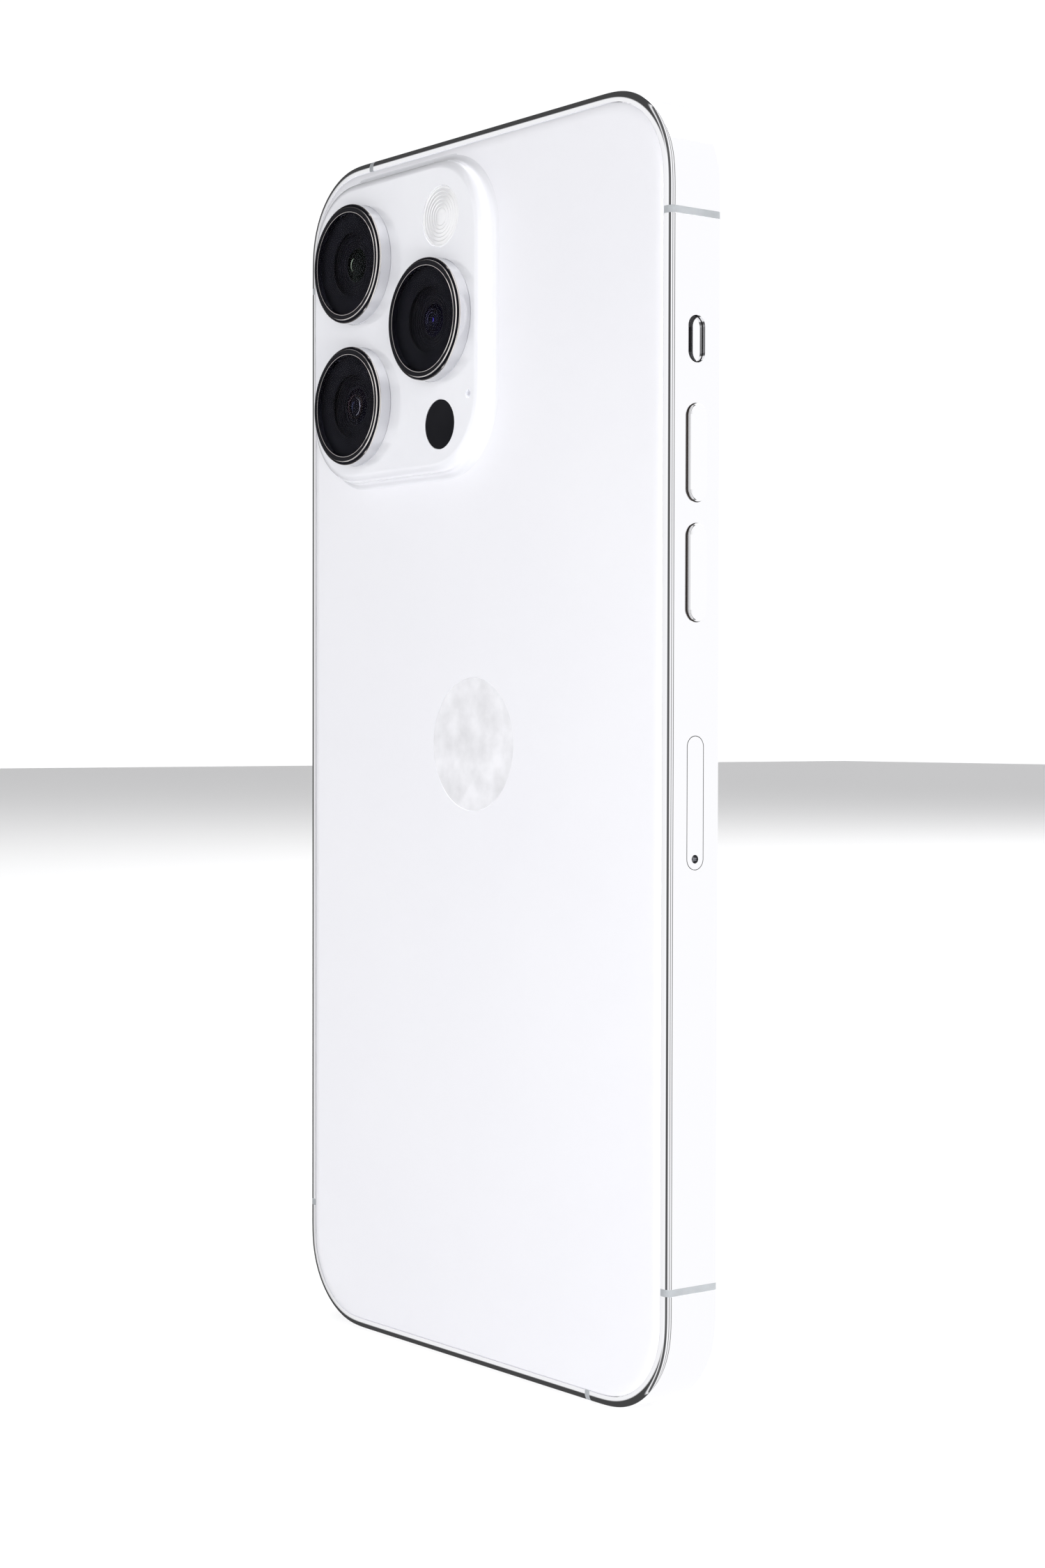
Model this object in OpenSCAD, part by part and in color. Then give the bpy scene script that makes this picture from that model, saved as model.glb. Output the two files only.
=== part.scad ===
// Smartphone: a steel-banded slab with glass on both faces, a raised camera
// plateau with three lenses, side buttons, a mute switch and a card tray.
//
// Every sub-part is drawn in a back view: x to the right as the back is looked
// at, y up from the bottom edge, z out of the back, with z = 0 at mid-thickness.
// upright() then stands the phone up: x becomes -X, y becomes +Z, z becomes +Y.

/* [Body] */
// Width across the flat sides
phone_w = 71.5; // [71:0.5:73]
// Height from the bottom edge to the top edge
phone_h = 147.5; // [147:0.5:150]
// Thickness from glass to glass
phone_t = 7.85; // [7.8:0.05:8.1]
// Radius of the four corners
corner_r = 11; // [10.5:0.5:12]
// Width of the flat part of the side band
band_flat = 6.3; // [6:0.1:6.5]
// Width of the metal rim seen from the back or the front
rim_w = 1.25; // [1.2:0.05:1.5]
// Thickness of the metal side wall
wall_t = 2.4; // [2.3:0.1:2.6]
// Thickness of the front and rear glass
glass_t = 0.7; // [0.6:0.05:0.8]
// Width of the insulating strips in the band
break_w = 0.8; // [0.6:0.1:1]
// Distance of the side strips from the top and bottom edges
break_end = 14.6; // [13:0.1:16]
// Sideways place of the strips in the top and bottom edges
break_side = 21.8; // [20.8:0.1:22.4]

/* [Camera plateau] */
// Width of the plateau at its foot
plateau_w = 36.7; // [36.5:0.1:37.5]
// Height of the plateau at its foot
plateau_h = 38.2; // [38:0.1:39]
// Sideways place of the plateau's centre
plateau_x = -13.65; // [-14:0.05:-13.4]
// Place of the plateau's centre below the top edge
plateau_drop = 21.65; // [21.4:0.05:22]
// Corner radius of the plateau at its foot
plateau_r = 9.6; // [9:0.1:10]
// Rise of the plateau above the rear glass
plateau_rise = 2.35; // [2.2:0.05:2.5]
// Rise of the lens rings above the rear glass
ring_rise = 4.17; // [3.8:0.05:4.3]
// Outer radius of a lens ring
ring_r = 7.35; // [7.2:0.05:7.45]
// Radius of the clear cover inside a lens ring
cover_r = 6.28; // [6.1:0.02:6.4]
// Travel of a focusing lens
focus_travel = 0.3; // [0.1:0.05:0.35]

/* [Buttons] */
// Length of a volume button
volume_len = 10.7; // [10:0.1:11]
// Width of the volume and side buttons
button_w = 2.7; // [2.4:0.1:2.9]
// Height of the volume-up button's centre
volume_up_y = 106.67; // [106:0.01:107.5]
// Height of the volume-down button's centre
volume_down_y = 93.55; // [93:0.01:94]
// Length of the side button
side_len = 17.8; // [16:0.1:18.5]
// Height of the side button's centre
side_y = 101.5; // [98:0.1:104]
// How far a button stands out of the band
button_out = 0.4; // [0.2:0.05:0.5]
// Travel of a button
button_travel = 0.3; // [0.15:0.05:0.3]
// Height of the mute switch's centre
mute_y = 119.1; // [118.5:0.1:120]
// Length of the mute switch's slot
mute_len = 5.2; // [5:0.1:5.6]
// Width of the mute switch's slot
mute_w = 2.44; // [2.3:0.02:2.6]
// Travel of the mute switch across the band
mute_travel = 0.95; // [0.7:0.05:1.1]

/* [Card tray] */
// Height of the tray's centre
tray_y = 68.29; // [67.5:0.01:69]
// Length of the tray's slot
tray_len = 14.8; // [14.6:0.1:15.2]
// Width of the tray's slot
tray_w = 2.45; // [2.4:0.05:2.6]
// Radius of the eject hole
eject_r = 0.475; // [0.4:0.025:0.5]

/* [Charge port] */
// Width of the plug opening
port_w = 8.34; // [8:0.02:8.4]
// Thickness of the plug opening
port_h = 2.56; // [2.4:0.02:2.6]
// Depth of the plug opening
port_deep = 6.2; // [5.8:0.1:6.5]

/* [Hidden] */
$fn = 96;

// Small gaps between pieces
bond = 0.05;
slot_gap = 0.08;

// Layers through the thickness, from the mid-plane to the back
half_t = phone_t / 2;
rim_top = half_t - 0.2;
rim_round = rim_top - band_flat / 2;
glass_in = half_t - glass_t;
ledge_z = glass_in - 0.15;
glass_edge = 0.34;
glass_inset = rim_w + bond;
mid_y = phone_h / 2;
break_deep = 1.7;

// Layers inside
panel_t = 0.78;
shield_t = 0.3;
panel_z = -glass_in + panel_t;
shield_z = panel_z + shield_t;
mid_z = 2.35;
mid_t = 0.5;
mid_hole_at = [24, 24];
mid_hole_r = 2.5;
magnet_z = mid_z + mid_t + 0.02;
magnet_t = 0.3;
magnet_r = 23;
magnet_w = 4;
magnet_count = 18;
magnet_gap = 2;
magnet_foot = [2, 46, 34];
coil_r = 21;
coil_wire = 1.5;
coil_pitch = 1.9;
coil_turns = 6;
ribbon_z = 2.15;
ribbon_t = 0.15;
cell_z = 2;
cell_r = 1.2;
long_cell = [37.2, 78];
long_cell_at = [-12, 65];
short_cell = [23.5, 32];
short_cell_at = [17.6, 42];

// Above the screen
slit_len = 11;
slit_w = 0.55;
slit_y = phone_h - 2.6;
earpiece_half = 6.5;
earpiece_y = [phone_h - 4.5, phone_h - 2.5];
notch_half = 7;
notch_y = phone_h - 4.8;
front_window = [20, 6.6];
front_window_y = phone_h - 8;
sensor_y = [phone_h - 11, phone_h - 5.2];
sensor_top = 1.2;
selfie_x = [1.2, 7.6];
selfie_r = 2.2;
face_x = [-8, -0.8];
face_eyes = [-6, -2.8];
face_eye_r = 1.2;

// Badge in the rear glass
badge_r = 8;
badge_deep = 0.3;
badge_y = mid_y + 0.75;

// Plateau and cameras
plateau_y = phone_h - plateau_drop;
plateau_z = half_t + plateau_rise;
plateau_foot = 0.5;
plateau_edge = 1.1;
skin_t = 0.8;
hollow_in = 1.7;
ring_z = half_t + ring_rise;
cover_sink = 0.15;
cover_t = 0.6;
cover_seat = ring_z - cover_sink - cover_t;
flange_r = 7.65;
flange_t = 0.5;
flange_z = plateau_z - skin_t - bond - flange_t;
tele_at = [-21.19, phone_h - 13.34];
main_at = [-21.18, phone_h - 30.97];
wide_at = [-4.75, phone_h - 22.12];
flash_at = [-3.5, phone_h - 9.9];
scanner_at = [-3.6, phone_h - 34.7];
mic_at = [2.1, phone_h - 31.6];
flash_r = 3.62;
scanner_r = 2.95;
mic_r = 0.5;
can_w = 14;
can_z = 3.2;
guide_r = 5.7;
barrel_r = 4.9;
barrel_gap = 0.1;
barrel_clear = 0.445;
barrel_top = cover_seat - barrel_clear - focus_travel;
barrel_foot = -0.6;
barrel_step = 0.8;
can_floor_z = -1.9;
can_floor_t = 0.7;
ring_bore = 6;
ring_round = 0.35;
bracket_t = 0.5;
lamp_z = 1.5;
lamp_r = 3;
sensor_r = 2.6;

// Buttons: the cap fills the slot and a flange behind the wall keeps it in
side_x = phone_w / 2;
inner_x = side_x - wall_t;
flange_x = inner_x - 0.05;
button_flange = 0.5;
button_lip = [1.4, 0.9];
stub_at = 2.6;
dome_r = 1.5;
stub_len = 0.6;
stub_r = 0.8;
switch_x = flange_x - button_flange - stub_len - button_travel - 0.05;
thumb_sink = 0.45;
floor_x = side_x - 0.85;
floor_t = 0.5;
floor_gap = 0.03;
base_x = flange_x - 0.7;
base_t = 1.5;
stem = [2.6, 0.34];
stem_z = -mute_travel / 2 - 0.3;
foot_t = 0.4;
foot_len = 3.4;

// Tray: the card lies along the slide, beside the eject rod
tray_head = 2;
head_x = side_x - tray_head;
plate_x = 14.9;
plate_y = tray_y - 4.75;
plate_w = 11.6;
plate_t = 1;
card = [12.3, 8.8, 0.67];
eject_y = tray_y - (tray_len - tray_w) / 2;
rod_r = 0.6;
rod_x = [13.6, head_x - 0.2];
lever_at = [12.7, eject_y + 4];
lever_t = 1.2;
lever_arm = 4.6;

// Bottom edge
screw_x = 8.6;
hole_first = 11.6;
hole_pitch = 2;
hole_count = 5;
hole_r = 0.65;
port_wall = 0.3;
port_start = 0.35;
tongue_w = 6.7;
tongue_t = 0.7;
screw_seat_r = 0.95;
screw_seat = 1.2;
screw_shank_r = 0.65;
socket_r = 0.45;

// Inside
board_x = [9, 30];
board_y = [79.5, 144];
board_z = [-0.4, 0.2];
board_neck = 16;
board_drill = [
  [11.5, 82.5], [27.5, 82.5], [11.5, 127], [27, 125], [11.5, 141], [24, 141]
];
cover_low = [10.2, 84.4, board_z[1]];
cover_high = [28.8, 123.8, 1.9];
cover_wall = 0.2;
speaker_low = [10.4, 4.6, -cell_z];
speaker_high = [29.6, 23, cell_z];
spout_low = [10.8, 3, -1.3];
spout_high = [20.6, 4.7, 1.3];
mesh_at = 15.6;
mesh_half = [5, 1.2];
haptic_low = [-31, 5.5, -cell_z];
haptic_high = [-9.5, 21.5, cell_z];
haptic_wall = 0.4;
haptic_play = 0.7;
haptic_gap = 0.15;

// ---- Shared shapes ----

module upright() {
  rotate([90, 0, 180]) children();
}

// A rectangle with round corners, centred
module round_rect(w, h, r) {
  square([w - 2 * r, h], center = true);
  square([w, h - 2 * r], center = true);
  for (sx = [-1, 1], sy = [-1, 1])
    translate([sx * (w / 2 - r), sy * (h / 2 - r)]) circle(r);
}

// A rectangle from its lowest corner to its highest
module square_from(x0, y0, x1, y1) {
  translate([x0, y0]) square([x1 - x0, y1 - y0]);
}

// A long shape with half-round ends, centred
module pill(len, w) {
  square([len - w, w], center = true);
  for (s = [-1, 1])
    translate([s * (len - w) / 2, 0]) circle(w / 2);
}

// A flat plate with round corners between two levels
module plate(at, w, h, r, z0, z1) {
  translate([at[0], at[1], z0]) linear_extrude(z1 - z0) round_rect(w, h, r);
}

// A box from its lowest corner to its highest
module block(low, high) {
  translate(low) cube(high - low);
}

// A round post between two levels
module post(at, r, z0, z1) {
  translate([at[0], at[1], z0]) cylinder(h = z1 - z0, r = r);
}

// Carries a 2D profile round a rectangle with round corners. The profile's x is
// the distance in from the outline and its y is the level.
module carry_round(w, h, r) {
  for (s = [0, 180]) {
    rotate(s) translate([w / 2, 0, 0]) rotate([90, 0, 0])
      linear_extrude(h - 2 * r, center = true) mirror([1, 0]) children();
    rotate(s + 90) translate([h / 2, 0, 0]) rotate([90, 0, 0])
      linear_extrude(w - 2 * r, center = true) mirror([1, 0]) children();
  }
  for (q = [[1, 1, 0], [-1, 1, 90], [-1, -1, 180], [1, -1, 270]])
    translate([q[0] * (w / 2 - r), q[1] * (h / 2 - r), 0]) rotate(q[2])
      rotate_extrude(angle = 90) translate([r, 0]) mirror([1, 0]) children();
}

// A profile with one rounded upper edge
module soft_edge(deep, tall, e) {
  translate([e, 0]) square([deep - e, tall]);
  square([deep, tall - e]);
  translate([e, tall - e]) circle(e);
}

// A long hole or peg along x, seen from the side as a pill
module side_pill(y, len, w, x0, x1, z = 0) {
  translate([x0, y, z]) rotate([90, 0, 90]) linear_extrude(x1 - x0) pill(len, w);
}

// The same along y, seen from below
module end_pill(x, len, w, y0, y1) {
  translate([x, y1, 0]) rotate([90, 0, 0]) linear_extrude(y1 - y0) pill(len, w);
}

// Round rods along x and along y
module rod_along_x(y, z, r, x0, x1) {
  translate([x0, y, z]) rotate([0, 90, 0]) cylinder(h = x1 - x0, r = r);
}

module rod_along_y(x, z, r, y0, y1) {
  translate([x, y1, z]) rotate([90, 0, 0]) cylinder(h = y1 - y0, r = r);
}

// ---- Band ----

// Cross-section of the band: flat outside, round rims, ledges for both glasses
module band_section() {
  translate([rim_round, -rim_top]) square([rim_w - rim_round, 2 * rim_top]);
  translate([0, -band_flat / 2]) square([rim_w, band_flat]);
  for (s = [-1, 1])
    translate([rim_round, s * band_flat / 2]) circle(rim_round);
  translate([rim_w / 2, -ledge_z]) square([wall_t - rim_w / 2, 2 * ledge_z]);
}

// One insulating strip, at the right side with its middle at y = 0
module break_strip() {
  translate([side_x, 0, 0]) rotate([90, 0, 0])
    linear_extrude(break_w, center = true) mirror([1, 0]) intersection() {
      band_section();
      translate([0, -phone_t]) square([break_deep, 2 * phone_t]);
    }
}

module break_strips() {
  for (s = [-1, 1], y = [break_end, phone_h - break_end])
    translate([0, y, 0]) rotate([0, 0, s > 0 ? 0 : 180]) break_strip();
  translate([-break_side, phone_h - side_x, 0]) rotate(90) break_strip();
  translate([break_side, side_x, 0]) rotate(-90) break_strip();
}

module bottom_holes(r, y0, y1) {
  for (s = [-1, 1], i = [0 : hole_count - 1])
    rod_along_y(s * (hole_first + i * hole_pitch), 0, r, y0, y1);
}

module frame() {
  color("gainsboro") upright() difference() {
    translate([0, mid_y, 0]) carry_round(phone_w, phone_h, corner_r)
      band_section();
    break_strips();
    for (y = [volume_up_y, volume_down_y])
      side_pill(y, volume_len + 2 * slot_gap, button_w + 2 * slot_gap,
                inner_x - 1, side_x + 1);
    side_pill(mute_y, mute_len, mute_w, inner_x - 1, side_x + 1);
    side_pill(tray_y, tray_len, tray_w, inner_x - 1, side_x + 1);
    side_pill(side_y, side_len + 2 * slot_gap, button_w + 2 * slot_gap,
              -side_x - 1, -inner_x + 1);
    end_pill(0, port_w + 2 * port_wall + 0.1, port_h + 2 * port_wall + 0.1,
             -1, wall_t + 1);
    bottom_holes(hole_r, -1, wall_t + 1);
    for (s = [-1, 1]) {
      rod_along_y(s * screw_x, 0, screw_seat_r, -1, screw_seat);
      rod_along_y(s * screw_x, 0, screw_shank_r, 0, wall_t + 1);
    }
  }
}

module antenna_breaks() {
  color("lightgray") upright() break_strips();
}

// ---- Front ----

module glass_sheet() {
  w = phone_w - 2 * glass_inset;
  h = phone_h - 2 * glass_inset;
  r = corner_r - glass_inset;
  translate([0, mid_y, glass_in]) {
    carry_round(w, h, r) soft_edge(2, glass_t, glass_edge);
    linear_extrude(glass_t) round_rect(w - 2, h - 2, r - 1);
  }
}

module gasket() {
  translate([0, mid_y, ledge_z])
    carry_round(phone_w - 2 * glass_inset, phone_h - 2 * glass_inset,
                corner_r - glass_inset)
      square([wall_t - glass_inset - 0.1, glass_in - ledge_z]);
}

module front_glass() {
  color("black") upright() difference() {
    mirror([0, 0, 1]) glass_sheet();
    translate([0, slit_y, -phone_t]) linear_extrude(phone_t) pill(slit_len, slit_w);
  }
}

module display_gasket() {
  color("dimgray") upright() mirror([0, 0, 1]) gasket();
}

module display_panel() {
  inset = wall_t + 0.2;
  color("darkslategray") upright() difference() {
    plate([0, mid_y], phone_w - 2 * inset, phone_h - 2 * inset,
          corner_r - inset, -glass_in, panel_z);
    translate([0, front_window_y, -phone_t])
      linear_extrude(phone_t) pill(front_window[0], front_window[1]);
    block([-notch_half, notch_y, -phone_t], [notch_half, phone_h, 0]);
  }
}

module display_shield() {
  inset = wall_t + 1;
  color("silver") upright() difference() {
    plate([0, mid_y], phone_w - 2 * inset, phone_h - 2 * inset,
          corner_r - inset, panel_z, shield_z);
    translate([0, front_window_y, -phone_t])
      linear_extrude(phone_t) pill(front_window[0], front_window[1]);
    block([-notch_half - 1, notch_y - 0.2, -phone_t], [notch_half + 1, phone_h, 0]);
  }
}

module earpiece() {
  color("gray") upright()
    block([-earpiece_half, earpiece_y[0], -glass_in + bond],
          [earpiece_half, earpiece_y[1], 1]);
}

module front_camera() {
  color("darkslategray") upright() {
    block([selfie_x[0], sensor_y[0], shield_z + 0.1],
          [selfie_x[1], sensor_y[1], sensor_top]);
    post([(selfie_x[0] + selfie_x[1]) / 2, front_window_y], selfie_r,
         -glass_in + 0.1, shield_z + 0.2);
  }
}

module face_sensor() {
  color("dimgray") upright() {
    block([face_x[0], sensor_y[0], shield_z + 0.1],
          [face_x[1], sensor_y[1], sensor_top]);
    for (x = face_eyes)
      post([x, front_window_y], face_eye_r, -glass_in + 0.1, shield_z + 0.2);
  }
}

// ---- Rear glass ----

module plateau_section() {
  difference() {
    square(plateau_foot);
    translate([0, plateau_foot]) circle(plateau_foot);
  }
  translate([plateau_foot, 0])
    soft_edge(plateau_edge + 1, plateau_rise, plateau_edge);
}

module plateau() {
  inset = plateau_foot + plateau_edge + 0.5;
  translate([plateau_x, plateau_y, half_t]) {
    carry_round(plateau_w, plateau_h, plateau_r) plateau_section();
    translate([0, 0, -0.2]) linear_extrude(plateau_rise + 0.2)
      round_rect(plateau_w - 2 * inset, plateau_h - 2 * inset, plateau_r - inset);
  }
}

module plateau_hollow(grow, z0, z1) {
  inset = hollow_in + grow;
  plate([plateau_x, plateau_y], plateau_w - 2 * inset, plateau_h - 2 * inset,
        plateau_r - inset, z0, z1);
}

module rear_glass() {
  color("ghostwhite") upright() difference() {
    union() {
      glass_sheet();
      plateau();
    }
    plateau_hollow(0, 0, plateau_z - skin_t);
    for (at = [tele_at, main_at, wide_at])
      post(at, ring_r + bond, 0, phone_t * 2);
    post(flash_at, flash_r + bond, 0, phone_t * 2);
    post(scanner_at, scanner_r + bond, 0, phone_t * 2);
    post(mic_at, mic_r, 0, phone_t * 2);
    post([0, badge_y], badge_r, half_t - badge_deep, phone_t * 2);
  }
}

module rear_gasket() {
  color("dimgray") upright() gasket();
}

module rear_badge() {
  color("whitesmoke") upright()
    post([0, badge_y], badge_r - 0.03, half_t - badge_deep, half_t);
}

module mid_plate() {
  inset = wall_t + 0.05;
  color("silver") upright() difference() {
    plate([0, mid_y], phone_w - 2 * inset, phone_h - 2 * inset,
          corner_r - inset, mid_z, mid_z + mid_t);
    plateau_hollow(-0.9, 0, phone_t);
    for (s = [-1, 1])
      post([s * mid_hole_at[0], mid_hole_at[1]], mid_hole_r, 0, phone_t);
  }
}

module charging_coil() {
  color("peru") upright() for (i = [0 : coil_turns - 1])
    translate([0, mid_y, magnet_z]) difference() {
      cylinder(h = magnet_t, r = coil_r - coil_pitch * i);
      translate([0, 0, -1])
        cylinder(h = magnet_t + 2, r = coil_r - coil_pitch * i - coil_wire);
    }
}

module magnet_ring() {
  color("darkgray") upright() {
    for (i = [0 : magnet_count - 1])
      translate([0, mid_y, magnet_z]) rotate(i * 360 / magnet_count)
        rotate_extrude(angle = 360 / magnet_count - magnet_gap)
          translate([magnet_r, 0]) square([magnet_w, magnet_t]);
    block([-magnet_foot[0], mid_y - magnet_foot[1], magnet_z],
          [magnet_foot[0], mid_y - magnet_foot[2], magnet_z + magnet_t]);
  }
}

// ---- Cameras ----

module lens_ring(at) {
  color("dimgray") upright() translate([at[0], at[1], 0]) rotate_extrude() {
    square_from(ring_bore, flange_z, flange_r, flange_z + flange_t);
    square_from(ring_bore, flange_z, ring_r, cover_seat);
    square_from(cover_r, flange_z, ring_r, ring_z - ring_round);
    square_from(cover_r, flange_z, ring_r - ring_round, ring_z);
    translate([ring_r - ring_round, ring_z - ring_round]) circle(ring_round);
  }
}

module lens_cover(at) {
  color("midnightblue") upright()
    post(at, cover_r - 0.03, cover_seat, cover_seat + cover_t);
}

module camera_housing(at) {
  color("slategray") upright() difference() {
    union() {
      plate(at, can_w, can_w, 1, can_floor_z, can_z);
      post(at, guide_r, can_z - 0.1, flange_z - 0.15);
    }
    post(at, barrel_r + barrel_gap, can_floor_z + can_floor_t, phone_t);
  }
}

module lens_barrel(at) {
  color("black") upright() translate([at[0], at[1], 0]) rotate_extrude() {
    square_from(0, barrel_foot, barrel_r, barrel_top - 2 * barrel_step);
    square_from(2.6, barrel_foot, barrel_r - 0.3, barrel_top - barrel_step);
    square_from(3.8, barrel_foot, barrel_r - 0.3, barrel_top);
  }
}

module tele_ring() { lens_ring(tele_at); }
module main_ring() { lens_ring(main_at); }
module wide_ring() { lens_ring(wide_at); }
module tele_cover() { lens_cover(tele_at); }
module main_cover() { lens_cover(main_at); }
module wide_cover() { lens_cover(wide_at); }
module tele_housing() { camera_housing(tele_at); }
module main_housing() { camera_housing(main_at); }
module wide_housing() { camera_housing(wide_at); }
module tele_barrel() { lens_barrel(tele_at); }
module main_barrel() { lens_barrel(main_at); }
module wide_barrel() { lens_barrel(wide_at); }

module camera_bracket() {
  color("silver") upright() difference() {
    plateau_hollow(0.2, can_z + bond, can_z + bond + bracket_t);
    for (at = [tele_at, main_at, wide_at])
      post(at, guide_r + 0.1, 0, phone_t);
    post(flash_at, lamp_r + 0.15, 0, phone_t);
    post(scanner_at, sensor_r + 0.15, 0, phone_t);
  }
}

module flash_lens() {
  color("lightyellow") upright() {
    post(flash_at, flash_r, plateau_z - 0.9, plateau_z);
    post(flash_at, flash_r - 0.6, plateau_z - 1.1, plateau_z - 0.8);
  }
}

module flash_led() {
  color("khaki") upright() {
    post(flash_at, lamp_r, lamp_z, plateau_z - 1.6);
    for (i = [0 : 3])
      post(flash_at + 1.3 * [cos(90 * i), sin(90 * i)], 0.7, plateau_z - 1.7,
           plateau_z - 1.2);
  }
}

module scanner_window() {
  color("black") upright()
    post(scanner_at, scanner_r, plateau_z - 0.7, plateau_z - 0.02);
}

module scanner_module() {
  color("dimgray") upright() post(scanner_at, sensor_r, 0, plateau_z - 0.75);
}

module rear_mic() {
  color("goldenrod") upright()
    block([mic_at[0] - 2, mic_at[1] - 1.3, can_z + bracket_t + 0.15],
          [mic_at[0] + 0.7, mic_at[1] + 1.3, plateau_z - skin_t - bond]);
}

// ---- Buttons ----

// A button on the right side: cap, retaining flange and plunger
module push_button(y, len) {
  side_pill(y, len, button_w, flange_x - 0.1, side_x + button_out);
  side_pill(y, len + button_lip[0], button_w + button_lip[1],
            flange_x - button_flange, flange_x);
  for (s = [-1, 1])
    rod_along_x(y + s * stub_at, 0, stub_r,
                flange_x - button_flange - stub_len, flange_x - 0.2);
}

// The strip of dome switches behind a button
module switch_strip(y0, y1, domes) {
  block([switch_x - 0.8, y0, -1.8], [switch_x - 0.4, y1, 1.8]);
  for (y = domes)
    rod_along_x(y, 0, dome_r, switch_x - 0.5, switch_x);
}

module volume_up() {
  color("whitesmoke") upright() push_button(volume_up_y, volume_len);
}

module volume_down() {
  color("whitesmoke") upright() push_button(volume_down_y, volume_len);
}

module side_button() {
  color("whitesmoke") upright() mirror([1, 0, 0]) push_button(side_y, side_len);
}

module volume_switches() {
  color("gold") upright()
    switch_strip(volume_down_y - 6, volume_up_y + 6, [
      volume_down_y - stub_at, volume_down_y + stub_at,
      volume_up_y - stub_at, volume_up_y + stub_at
    ]);
}

module side_switch() {
  color("gold") upright() mirror([1, 0, 0])
    switch_strip(side_y - 7, side_y + 7, [side_y - stub_at, side_y + stub_at]);
}

// The thumb's outline is what the slot leaves free at both ends of the travel
module thumb_outline() {
  intersection_for (shift = [0, -mute_travel])
    translate([0, shift]) pill(mute_len - 2 * slot_gap, mute_w - 2 * slot_gap);
}

// The thumb slides on a floor inside the slot; its stem goes through a window
// in the floor and a foot behind the floor keeps it in
module mute_thumb() {
  foot_x = floor_x - floor_t - bond;
  color("whitesmoke") upright() translate([0, mute_y, 0]) {
    translate([floor_x + bond, 0, 0]) rotate([90, 0, 90])
      linear_extrude(side_x - thumb_sink - floor_x - bond) thumb_outline();
    block([foot_x - 0.1, -stem[0] / 2, stem_z - stem[1] / 2],
          [floor_x + 0.2, stem[0] / 2, stem_z + stem[1] / 2]);
    block([foot_x - foot_t, -foot_len / 2, stem_z - stem[1] / 2],
          [foot_x, foot_len / 2, stem_z + stem[1] / 2]);
  }
}

module mute_base() {
  color("dimgray") upright() translate([0, mute_y, 0]) difference() {
    union() {
      block([base_x - base_t, -3.6, -2], [base_x, 3.6, 2]);
      side_pill(0, mute_len - 2 * floor_gap, mute_w - 2 * floor_gap,
                base_x - 0.1, floor_x);
    }
    block([base_x, -foot_len / 2 - 0.15, -2],
          [floor_x - floor_t, foot_len / 2 + 0.15, 2]);
    block([floor_x - 1, -stem[0] / 2 - bond, stem_z - stem[1] / 2 - bond],
          [side_x, stem[0] / 2 + bond, stem_z + stem[1] / 2 + mute_travel + bond]);
  }
}

// ---- Card tray ----

module sim_tray() {
  pocket = [card[0] + 0.2, card[1] + 0.2];
  color("gainsboro") upright() difference() {
    union() {
      side_pill(tray_y, tray_len - 2 * slot_gap, tray_w - 2 * slot_gap,
                head_x, side_x);
      block([plate_x, plate_y, -plate_t / 2],
            [head_x + 0.1, plate_y + plate_w, plate_t / 2]);
    }
    translate([plate_x + 1.2, plate_y + 1.3, -plate_t / 2 + 0.25])
      cube([pocket[0], pocket[1], plate_t]);
    translate([plate_x + 2.4, plate_y + 2.5, -phone_t])
      cube([pocket[0] - 2.4, pocket[1] - 2.4, 2 * phone_t]);
    rod_along_x(eject_y, 0, eject_r, head_x - 1, side_x + 1);
  }
}

// The seal fills a step behind the tray's head, above the rod's lane
module tray_seal() {
  color("black") upright() difference() {
    side_pill(tray_y, tray_len - 0.3, tray_w - 0.3, head_x - 0.55, head_x - 0.02);
    block([head_x - 1, plate_y - 0.05, -plate_t / 2 - 0.02],
          [head_x + 1, plate_y + plate_w + 0.05, plate_t / 2 + 0.02]);
    rod_along_x(eject_y, 0, rod_r + 0.2, head_x - 2, head_x + 1);
  }
}

module sim_card() {
  color("darkgoldenrod") upright()
    translate([plate_x + 1.3, plate_y + 1.4, -plate_t / 2 + 0.25]) cube(card);
}

// The reader is a shell above and below the tray, closed at one side
module sim_reader() {
  x0 = plate_x + 1;
  x1 = inner_x - 1;
  y0 = plate_y - 0.2;
  y1 = plate_y + plate_w + 1;
  color("lightsteelblue") upright() {
    block([x0, y0, 0.7], [x1, y1, 1.1]);
    block([x0, y0, -1.1], [x1, y1, -0.7]);
    block([x0, y1 - 0.6, -1], [x1, y1, 1]);
    translate([lever_at[0], lever_at[1], 0]) {
      post([0, 0], 0.5, -1.1, 1.1);
      post([0, 0], 1.4, -1.1, -0.7);
    }
    block([lever_at[0], lever_at[1] - 1, -1.1], [x0 + 0.1, lever_at[1] + 1, -0.7]);
  }
}

module eject_rod() {
  color("silver") upright() rod_along_x(eject_y, 0, rod_r, rod_x[0], rod_x[1]);
}

module eject_lever() {
  color("silver") upright() translate([lever_at[0], lever_at[1], 0])
    difference() {
      union() {
        translate([-lever_t / 2, -lever_arm, -0.5])
          cube([lever_t, 2 * lever_arm - 1, 1]);
        post([0, 0], 1.3, -0.5, 0.5);
      }
      post([0, 0], 0.56, -2, 2);
    }
}

// ---- Inside ----

module battery() {
  color("dimgray") upright() {
    plate(long_cell_at, long_cell[0], long_cell[1], cell_r, -cell_z, cell_z - 0.1);
    plate(short_cell_at, short_cell[0], short_cell[1], cell_r, -cell_z, cell_z - 0.1);
    block([5, 28, -1.4], [7, 56, 1.4]);
  }
}

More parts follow.
